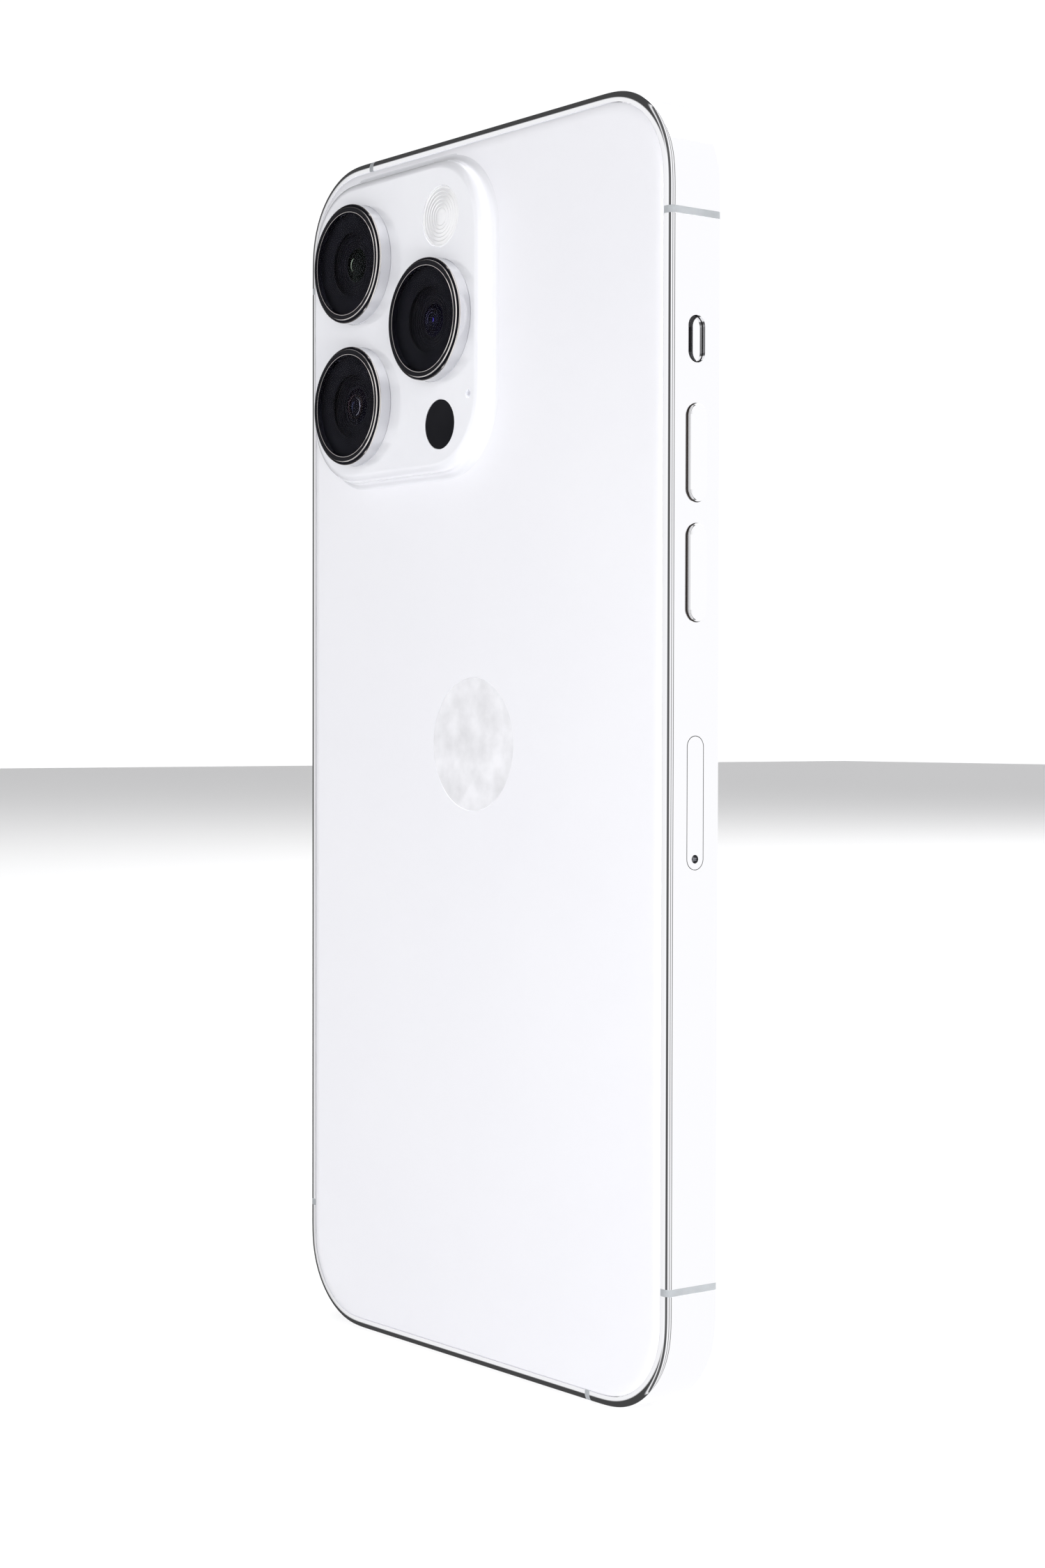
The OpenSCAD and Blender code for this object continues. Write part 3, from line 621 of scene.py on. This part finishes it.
def bottom_cutters():
    low, high = box_mm("port_shell")
    port = pill(high.x - low.x + 0.1, high.z - low.z + 0.1)
    span = [(0, -WALL - 1), (0, 1)]
    cutters = [plate("port_cut", port, span, from_below)]
    for side in (-1, 1):
        for i in range(HOLE_COUNT):
            at = (side * (HOLE_FIRST + HOLE_PITCH * i), 0)
            cutters.append(plate("hole_cut", circle(HOLE_R, at, 32), span, from_below))
        seat = circle(SCREW_SEAT_R, (side * SCREW_X, 0), 40)
        cutters.append(plate("screw_cut", seat, [(0, -SCREW_SEAT_DEEP), (0, 1)], from_below))
        shank = circle(SCREW_SHANK_R, (side * SCREW_X, 0), 32)
        cutters.append(plate("shank_cut", shank, span, from_below))
    return cutters


def make_band():
    section = band_section()
    pieces = []
    for i, stations in enumerate(band_lengths()):
        piece = sweep(f"band_{i}", stations, section, closed=False)
        low, high = piece_box(piece)
        if low.y < PHONE_H / 2 < high.y and high.x > 0:
            cut(piece, side_slots())
        elif low.y < PHONE_H / 2 < high.y:
            cut(piece, [pill_cutter("side_button", from_left)])
        elif low.y < 1 and low.x < 0:
            cut(piece, bottom_cutters())
        pieces.append(piece)
    band = join("band", pieces)
    round_edges(band, 0.09, 42)
    finish_piece(band, "phone", STEEL, ["frame"])


def piece_box(obj):
    points = [Vector((-v.co.x, v.co.z, v.co.y)) / MM for v in obj.data.vertices]
    low = Vector((min(p[i] for p in points) for i in range(3)))
    high = Vector((max(p[i] for p in points) for i in range(3)))
    return low, high


def make_strips():
    strips = []
    for places in break_places():
        for place in places:
            ends = [beside(place, -BREAK_W / 2), beside(place, BREAK_W / 2)]
            strips.append(sweep("strip", ends, strip_section(), closed=False))
    strip = join("band_strips", strips)
    finish_piece(strip, "phone", STRIP, ["antenna_breaks"])


# ---------------------------------------------------------------- glass

def inset_outline(inset):
    corners = smooth_rectangle(PHONE_W, PHONE_H, (0, PHONE_H / 2), CORNER_REACH)
    return [(x - nx * inset, y - ny * inset, nx, ny) for x, y, nx, ny in loop_of(corners)]


def sheet_profile(roll=1.3, drop=0.3):
    """A glass sheet whose outer edge rolls off towards the rim."""
    low = [(0.12, GLASS_IN), (0.0, GLASS_IN + 0.12)]
    return low + arc(roll, HALF_T - drop, roll, drop, 180, 90, 14)


def plateau_outline(inset):
    reach = (PLATEAU_R - inset) * PLATEAU_REACH
    return loop_of(smooth_rectangle(
        PLATEAU_W - 2 * inset, PLATEAU_H - 2 * inset, PLATEAU_AT, reach, PLATEAU_RAMP))


def make_rear_sheet():
    sheet = plate("rear_sheet", inset_outline(GLASS_INSET), sheet_profile())
    hollow = plate("hollow_cut", plateau_outline(HOLLOW_IN), THROUGH_BACK)
    badge_at = centre_mm("rear_badge")
    badge_r = radius_mm("rear_badge") + 0.03
    well = plate("badge_cut", circle(badge_r, badge_at[:2]),
                 [(0, HALF_T - BADGE_DEEP), (0, FAR)])
    cut(sheet, [hollow, well])
    even_shading(sheet)
    finish_piece(sheet, "phone", SATIN)


def make_plateau():
    """The raised block: a hollow foot, a wall and a round upper edge."""
    foot, edge, spread = 1.0, 1.05, 0.55
    z = HALF_T - 0.02
    profile = [(HOLLOW_IN + 0.6, z - 0.1), (-spread, z - 0.1)]
    profile += arc(-spread, z + foot, foot, foot, 270, 360, 10)
    wall = foot - spread
    profile += arc(wall + edge, PLATEAU_TOP - edge, edge, edge, 180, 90, 12)
    block = plate("plateau", plateau_outline(0), profile)
    cutters = [plate("hollow_cut", plateau_outline(HOLLOW_IN), [(0, 0), (0, PLATEAU_TOP - SKIN)])]
    for lens in LENSES:
        at = centre_mm(lens + "_ring")
        cutters.append(plate("ring_cut", circle(RING_R + 0.05, at[:2]), THROUGH_BACK))
    for node in ("flash_lens", "scanner_window"):
        window = circle(radius_mm(node) + WINDOW_GAP, centre_mm(node)[:2])
        cutters.append(plate("window_cut", window, THROUGH_BACK))
    cutters.append(plate("mic_cut", circle(MIC_R, MIC_AT, 40), THROUGH_BACK))
    cut(block, cutters)
    round_edges(block, 0.06, 42)
    finish_piece(block, "phone", CLEAR, ["rear_glass"])


def make_badge():
    """A plain round disc with a fine turned edge."""
    low, high = box_mm("rear_badge")
    r = radius_mm("rear_badge")
    profile = [(0.0, low.z), (0.0, high.z - 0.03)] + arc(0.03, high.z - 0.03, 0.03, 0.03, 180, 90, 4)
    disc = plate("badge_disc", circle(r, centre_mm("rear_badge")[:2], 160), profile)
    even_shading(disc)
    finish_piece(disc, "phone", BADGE, ["rear_badge"])


def make_front_sheet():
    profile = [(d, -z) for d, z in sheet_profile()]
    sheet = plate("front_sheet", inset_outline(GLASS_INSET), profile)
    slit = plate("slit_cut", pill(SLIT_LEN, SLIT_W, (0, PHONE_H - SLIT_DROP)), [(0, -FAR), (0, 0)])
    cut(sheet, [slit])
    even_shading(sheet)
    finish_piece(sheet, "phone", FRONT, ["front_glass"])


# ---------------------------------------------------------------- cameras

def make_ring(lens):
    """A polished sleeve with a black front between three fine bright lines."""
    at = centre_mm(lens + "_ring")[:2]
    low, high = box_mm(lens + "_ring")
    front = high.z
    seat = box_mm(lens + "_cover")[0].z
    flange = radius_mm(lens + "_ring")
    outline = circle(RING_R, at, 192)
    bore, mouth = RING_R - 6.0, RING_R - 6.27
    sleeve = [(bore, low.z), (RING_R - flange, low.z), (RING_R - flange, low.z + 0.5),
              (0, low.z + 0.5), (0, front - 0.42), (0.12, front - 0.42), (0.5, front - 0.5),
              (0.9, front - 0.55), (0.9, seat - 0.3), (bore, seat - 0.3)]
    edge = [(0, front - 0.42), (0, front - 0.40), (0.03, front - 0.33), (0.10, front - 0.26),
            (0.14, front - 0.42)]
    bevel = [(0.14, front - 0.42), (0.10, front - 0.265)]
    bevel += arc(0.5, front - 0.34, 0.36, 0.28, 160, 115, 8)
    face = [(0.46, front - 0.10), (0.46, front - 0.015), (0.90, front - 0.03),
            (0.94, front - 0.10), (1.02, front - 0.10), (1.02, front - 0.03),
            (mouth, front - 0.05), (mouth, seat - 0.02), (0.92, seat - 0.02),
            (0.92, front - 0.5), (0.5, front - 0.45)]
    ridge = [(0.35, front - 0.12), (0.35, front - 0.09), (0.40, front - 0.015),
             (0.46, front), (0.46, front - 0.12)]
    lip = [(0.93, front - 0.12), (0.93, front - 0.10), (0.985, front - 0.03),
           (1.02, front - 0.03), (1.02, front - 0.12)]
    hood = [(0.95, seat - 0.03), (bore, seat - 0.03), (RING_R - 3.9, seat - 0.2),
            (RING_R - 3.9, seat - 0.27), (0.95, seat - 0.27)]
    for part, section, mat in (
            ("sleeve", sleeve, RING_SIDE), ("edge", edge, RING_EDGE),
            ("face", bevel + face, RING_FRONT), ("ridge", ridge, RING_EDGE),
            ("lip", lip, RING_EDGE), ("hood", hood, BARREL)):
        piece = sweep(f"{lens}_{part}", outline, section)
        even_shading(piece)
        finish_piece(piece, "phone", mat)
        if part == "sleeve":
            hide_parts(lens + "_ring")


def make_cover(lens):
    low, high = box_mm(lens + "_cover")
    r = radius_mm(lens + "_cover")
    profile = [(0.05, low.z), (0.0, low.z + 0.05), (0.0, high.z - 0.08)]
    profile += arc(0.08, high.z - 0.08, 0.08, 0.08, 180, 90, 4)
    disc = plate(lens + "_crystal", circle(r, centre_mm(lens + "_cover")[:2], 160), profile)
    even_shading(disc)
    finish_piece(disc, "phone", CRYSTAL, [lens + "_cover"])


def dome(name, at, radius, base, rise, steps=14):
    """A shallow lens: a spherical cap on a short cylinder."""
    ball = (radius * radius + rise * rise) / (2 * rise)
    profile = [(0, base - 0.3), (0, base)]
    for i in range(1, steps):
        r = radius * (1 - i / steps)
        height = math.sqrt(ball * ball - r * r) - (ball - rise)
        profile.append((radius - r, base + height))
    return plate(name, circle(radius, at, 96), profile)


# Per lens: the front lens's radius, its coating, and the fine arcs in it, each
# a radius, a first and a last angle and a colour; the whole circles stand for ring edges inside the
# lens, the part arcs on one side are painted reflections (glints)
LENS_LOOKS = {
    "tele": {"pupil": 2.1, "near": (0.003, 0.004, 0.003), "far": (0.006, 0.009, 0.006),
             "rings_and_glints": [(0.95, 115, 245, (0.30, 0.36, 0.24))]},
    "main": {"pupil": 2.3, "near": (0.003, 0.003, 0.006), "far": (0.009, 0.007, 0.010),
             "rings_and_glints": [(1.5, 0, 360, (0.07, 0.05, 0.05)), (1.15, -75, 75, (0.45, 0.44, 0.46)),
                      (0.7, 100, 260, (0.06, 0.07, 0.12))]},
    "wide": {"pupil": 2.0, "near": (0.003, 0.003, 0.007), "far": (0.007, 0.005, 0.016),
             "rings_and_glints": [(1.3, 0, 360, (0.03, 0.03, 0.05)), (0.95, 0, 360, (0.05, 0.05, 0.08)),
                      (0.35, -55, 55, (0.14, 0.10, 0.75))]},
}


def make_barrel(lens):
    """A ribbed black funnel that narrows in steps to the front lens."""
    node = lens + "_barrel"
    low, high = box_mm(node)
    at = centre_mm(node)[:2]
    r = radius_mm(node)
    look = LENS_LOOKS[lens]
    pupil, ribs, deep = look["pupil"], 6, 0.22
    section = [(0, low.z), (0, high.z - 0.9), (0.3, high.z - 0.8), (0.3, high.z)]
    for i in range(ribs):
        d = 0.6 + (r - pupil - 0.6) * i / ribs
        z = high.z - 0.04 - deep * i / ribs
        section += [(d, z), (d + 0.08, z - 0.07)]
    section += [(r - pupil, high.z - deep - 0.1), (r - pupil, low.z)]
    barrel = sweep(lens + "_ribs", circle(r, at, 128), section)
    even_shading(barrel)
    finish_piece(barrel, lens + "_focus", BARREL, [node])
    glass = dome(lens + "_front_lens", at, pupil + 0.05, high.z - 0.42, 0.3)
    even_shading(glass)
    finish_piece(glass, lens + "_focus", coated_lens(lens + "_coating", look["near"], look["far"]))
    top = high.z - 0.04
    section = [(0, top - 0.3), (0, top - 0.03), (0.03, top), (0.12, top - 0.06),
               (0.12, top - 0.3)]
    # Coloured metal arcs in the lens: whole circles for ring edges, part arcs as painted reflections
    # (glints) on one side.
    for i, (ring_r, start, end, color) in enumerate(look["rings_and_glints"]):
        ring = sweep(f"{lens}_ring_and_glint_{i}", part_circle(ring_r, at, start, end), section,
                     closed=end - start == 360)
        shine = polished_metal(f"{lens}_arc_{i}", color, (0.15, 0.25), 0.0001)
        finish_piece(ring, lens + "_focus", shine)


def part_circle(radius, centre, start, end, steps=64):
    """Stations from one angle to another; a whole turn leaves out its last one."""
    last = steps if end - start == 360 else steps + 1
    turns = [math.radians(start + (end - start) * i / steps) for i in range(last)]
    return [
        (centre[0] + radius * math.cos(a), centre[1] + radius * math.sin(a), math.cos(a), math.sin(a))
        for a in turns
    ]


def make_flash():
    """A white moulded lens: a raised rim, stepped rings and a low dome in the middle."""
    low, high = box_mm("flash_lens")
    r = radius_mm("flash_lens")
    rim, rings, middle = 0.2, 5, 1.05
    profile = [(0.4, low.z), (0.0, low.z + 0.3), (0.0, high.z - 0.06), (0.06, high.z),
               (rim, high.z), (rim + 0.06, high.z - 0.09)]
    step = (r - middle - rim - 0.06) / rings
    for i in range(rings):
        d = rim + 0.06 + step * i
        profile += [(d + step - 0.10, high.z - 0.03), (d + step, high.z - 0.09)]
    for i in range(1, 9):
        turn = math.pi / 2 * i / 9
        profile.append((r - middle * math.cos(turn), high.z - 0.09 + 0.08 * math.sin(turn)))
    lens = plate("flash_rings", circle(r, centre_mm("flash_lens")[:2], 128), profile, sharp=25)
    even_shading(lens)
    finish_piece(lens, "phone", FRESNEL, ["flash_lens"])


def make_scanner():
    low, high = box_mm("scanner_window")
    r = radius_mm("scanner_window")
    profile = [(0, low.z), (0, high.z - 0.06)] + arc(0.06, high.z - 0.06, 0.06, 0.06, 180, 90, 4)
    window = plate("scanner_glass", circle(r, centre_mm("scanner_window")[:2], 96), profile)
    even_shading(window)
    finish_piece(window, "phone", SCANNER, ["scanner_window"])


# ---------------------------------------------------------------- buttons

def make_button(node, to_row=from_right):
    """A polished cap with a softly rounded rim on a darker body with its flange; the body's darker
    steel is painted shade.
    """
    low, high = box_mm(node)
    y = (low.y + high.y) / 2
    length, width = high.y - low.y - FLANGE_LEN, high.z - low.z - FLANGE_W
    top = max(abs(low.x), abs(high.x))
    wall_in = PHONE_W / 2 - WALL - 0.05
    edge = 0.16
    cap = [(0, top - edge - 0.03)] + arc(edge, top - edge, edge, edge, 180, 90, 10)
    cap += [(width / 2 - 0.05, top)]
    face = plate(node + "_cap", pill(length, width, (y, 0)), cap, to_row)
    even_shading(face)
    finish_piece(face, node, BUTTON_STEEL)
    body = [(0, wall_in - 0.1), (0, top - edge - 0.03)]
    parts = [plate(node + "_body", pill(length, width, (y, 0)), body, to_row)]
    flange = pill(length + FLANGE_LEN, width + FLANGE_W, (y, 0))
    parts.append(plate(node + "_flange", flange, [(0, wall_in - 0.5), (0, wall_in)], to_row))
    for side in (-1, 1):
        stub = circle(0.8, (y + side * 2.6, 0), 32)
        parts.append(plate(node + "_stub", stub, [(0, wall_in - 1.1), (0, wall_in - 0.5)], to_row))
    button = join(node + "_key", parts)
    even_shading(button)
    # The body, flange and stubs take the darkened steel: painted shade.
    finish_piece(button, node, BUTTON_WALL_PAINTED_SHADE, [node])


# ---------------------------------------------------------------- CAD nodes that stay

KEPT = {
    "mute_thumb": BUTTON_STEEL, "sim_tray": STEEL, "tray_seal": RUBBER, "sim_card": GOLD,
    "sim_reader": CAN, "eject_rod": CAN, "eject_lever": CAN, "bottom_screws": STEEL,
    "port_shell": CAN, "port_tongue": DARK, "speaker_mesh": MESH, "loudspeaker": DARK,
    "bottom_mic": GOLD, "display_panel": PANEL, "display_shield": SHEET, "display_gasket": TAPE,
    "rear_gasket": TAPE, "mid_plate": SHEET, "charging_coil": COPPER, "magnet_ring": MAGNET,
    "tele_housing": CAN, "main_housing": CAN, "wide_housing": CAN, "camera_bracket": SHEET,
    "flash_led": LED, "scanner_module": DARK, "rear_mic": STEEL, "volume_switches": GOLD,
    "side_switch": GOLD, "mute_base": DARK, "battery": CELL, "logic_board": BOARD,
    "board_chips": CHIP, "board_shield": CAN, "board_screws": STEEL, "flex_cables": RIBBON,
    "haptic_housing": CAN, "haptic_mass": MAGNET, "earpiece": DARK, "front_camera": DARK,
    "face_sensor": DARK,
}
ROUNDED = {"mute_thumb": 0.12, "sim_tray": 0.08, "sim_card": 0.05, "bottom_screws": 0.06,
           "port_shell": 0.06, "port_tongue": 0.08, "battery": 0.3, "eject_rod": 0.08}


def dress_kept_nodes():
    for node, material in KEPT.items():
        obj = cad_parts[node]
        obj.data.materials.clear()
        obj.data.materials.append(material)
        if node in ROUNDED:
            round_edges(obj, ROUNDED[node])


# ---------------------------------------------------------------- stage

def make_stage():
    """A pale floor that the polished pieces do not mirror."""
    mesh = bpy.data.meshes.new("floor")
    bm = bmesh.new()
    bmesh.ops.create_grid(bm, x_segments=1, y_segments=1, size=4.0)
    bm.to_mesh(mesh)
    bm.free()
    floor = bpy.data.objects.new("floor", mesh)
    floor.location.z = -0.00005
    bpy.context.scene.collection.objects.link(floor)
    floor.data.materials.append(make_material("pale_floor", (0.92, 0.92, 0.92), 0.9))
    floor.visible_glossy = False


def soft_light(name, place, target, width, power):
    light = bpy.data.lights.new(name, "AREA")
    light.size = width
    light.energy = power
    obj = bpy.data.objects.new(name, light)
    obj.location = place
    obj.rotation_euler = (Vector(target) - Vector(place)).to_track_quat("-Z", "Y").to_euler()
    bpy.context.scene.collection.objects.link(obj)
    return obj


def brightness_round(nodes, links, turn, stops):
    """A ramp of brightness by compass angle, from (degrees, level) stops."""
    ramp = nodes.new("ShaderNodeValToRGB")
    elements = ramp.color_ramp.elements
    while len(elements) < len(stops):
        elements.new(0.5)
    for element, (degrees, level) in zip(elements, stops):
        element.position = (degrees + 180) / 360
        element.color = (level, level, level * 1.01, 1)
    links.new(turn, ramp.inputs["Fac"])
    return ramp.outputs["Color"]


# The slope at which the panel behind the phone's back starts and finishes fading
PANEL_FADE = (0.27, 0.36)


def make_world():
    """A white studio with dark gaps between its panels, seen in the polished rims.
    The panel that faces the phone's back ends a little above and below it."""
    world = bpy.data.worlds.new("studio")
    bpy.context.scene.world = world
    world.use_nodes = True
    nodes, links = world.node_tree.nodes, world.node_tree.links
    background = nodes["Background"]
    coord = nodes.new("ShaderNodeTexCoord")
    split = nodes.new("ShaderNodeSeparateXYZ")
    links.new(coord.outputs["Generated"], split.inputs["Vector"])
    angle = nodes.new("ShaderNodeMath")
    angle.operation = "ARCTAN2"
    links.new(split.outputs["Y"], angle.inputs[0])
    links.new(split.outputs["X"], angle.inputs[1])
    turn = nodes.new("ShaderNodeMapRange")
    turn.inputs["From Min"].default_value = -math.pi
    turn.inputs["From Max"].default_value = math.pi
    links.new(angle.outputs["Value"], turn.inputs["Value"])
    steep = nodes.new("ShaderNodeMath")
    steep.operation = "ABSOLUTE"
    links.new(split.outputs["Z"], steep.inputs[0])
    past_panel = nodes.new("ShaderNodeMapRange")
    past_panel.inputs["From Min"].default_value = PANEL_FADE[0]
    past_panel.inputs["From Max"].default_value = PANEL_FADE[1]
    links.new(steep.outputs["Value"], past_panel.inputs["Value"])
    side_stops = [(-180, 0.9), (-168, 0.9), (-163, 0.1), (-145.5, 0.1), (-142.5, 1.0)]
    camera_stops = [(78, 0.1), (104, 0.1), (112, 1.0), (134, 1.0), (139, 0.1), (146, 0.1),
                    (151, 0.9), (180, 0.9)]
    level = side_stops + [(-25, 1.0), (-14, 0.08), (24, 0.05), (34, 0.9), (70, 1.0)]
    high = side_stops + [(-37, 1.0), (-28, 0.06), (62, 0.06), (70, 1.0)]
    mixed = nodes.new("ShaderNodeMix")
    mixed.data_type = "RGBA"
    links.new(past_panel.outputs["Result"], mixed.inputs["Factor"])
    sockets = [s for s in mixed.inputs if s.type == "RGBA"]
    for socket, stops in zip(sockets, (level, high)):
        color = brightness_round(nodes, links, turn.outputs["Result"], stops + camera_stops)
        links.new(color, socket)
    result = [s for s in mixed.outputs if s.type == "RGBA"][0]
    links.new(result, background.inputs["Color"])
    background.inputs["Strength"].default_value = 1.05


# The camera stands behind the phone's left shoulder as the screen sees it
CAMERA_AT = Vector((-253.9, 192.3, 76.7)) * MM
CAMERA_YAW, CAMERA_PITCH, CAMERA_ROLL = 52.343, -1.256, -0.128
CAMERA_LENS = 60.71


def make_camera():
    camera = bpy.data.cameras.new("camera")
    camera.sensor_width = 36
    camera.lens = CAMERA_LENS
    obj = bpy.data.objects.new("camera", camera)
    yaw, pitch = math.radians(CAMERA_YAW), math.radians(CAMERA_PITCH)
    ahead = Vector((math.cos(pitch) * math.sin(yaw), -math.cos(pitch) * math.cos(yaw),
                    math.sin(pitch)))
    turn = ahead.to_track_quat("-Z", "Y").to_matrix()
    obj.matrix_world = Matrix.Translation(CAMERA_AT) @ (
        turn @ Matrix.Rotation(math.radians(-CAMERA_ROLL), 3, "Z")).to_4x4()
    bpy.context.scene.collection.objects.link(obj)
    bpy.context.scene.camera = obj


# ---------------------------------------------------------------- build

make_camera()
make_world()
make_stage()
key = soft_light("key_panel", (-0.22, 0.08, 0.02), (0, 0, 0.06), 0.06, 0.2)
key.visible_glossy = False
fill = soft_light("floor_panel", (0.0, -1.0, 1.2), (0, 0.1, 0), 1.2, 24)
fill.data.use_shadow = False
back = soft_light("back_panel", (-0.25, 1.15, 0.25), (0, 0, 0.07), 1.2, 3.6)
back.visible_glossy = False

make_band()
make_strips()
make_rear_sheet()
make_plateau()
make_badge()
make_front_sheet()
for lens in LENSES:
    make_ring(lens)
    make_cover(lens)
    make_barrel(lens)
make_flash()
make_scanner()
make_button("volume_up")
make_button("volume_down")
make_button("side_button", from_left)
dress_kept_nodes()

bpy.context.scene.view_settings.view_transform = "Standard"
